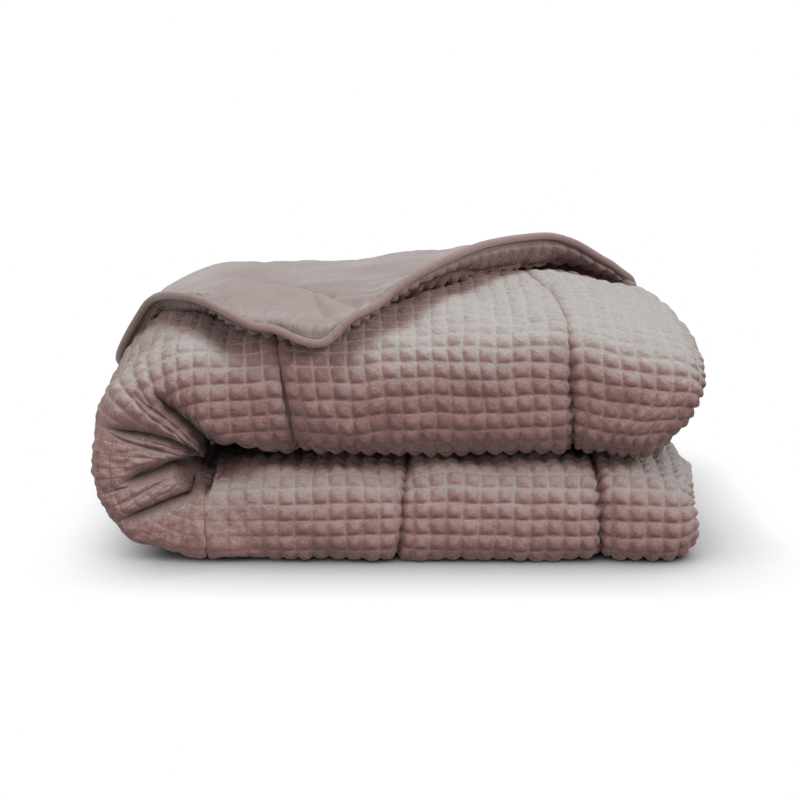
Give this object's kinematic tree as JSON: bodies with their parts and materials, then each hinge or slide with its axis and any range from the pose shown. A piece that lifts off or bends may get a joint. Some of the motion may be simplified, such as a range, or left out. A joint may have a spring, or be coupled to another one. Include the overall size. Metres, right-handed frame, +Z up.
{
  "type": "folded duvet",
  "caption": "Filled duvet folded into a stack, waffle plush outside and smooth inside, piped all round, with one corner turned back.",
  "frame": {"origin": "on the floor, under the middle of the folded stack's bounding box", "axes": "+X along the front fold to the turned-in ends, +Y to the open edges at the back, +Z up"},
  "size_m": [0.5894, 0.445, 0.279],
  "materials": {
    "waffle_plush": "dusty mauve-pink plush fleece, embossed with a small waffle, soft sheen",
    "smooth_reverse": "smooth brushed microfibre in the same dusty mauve, slightly greyer",
    "piping_cloth": "round piping in the smooth cloth"
  },
  "bodies": {
    "root": {"duvet": "waffle_plush", "piping": "piping_cloth"}
  },
  "joints": []
}
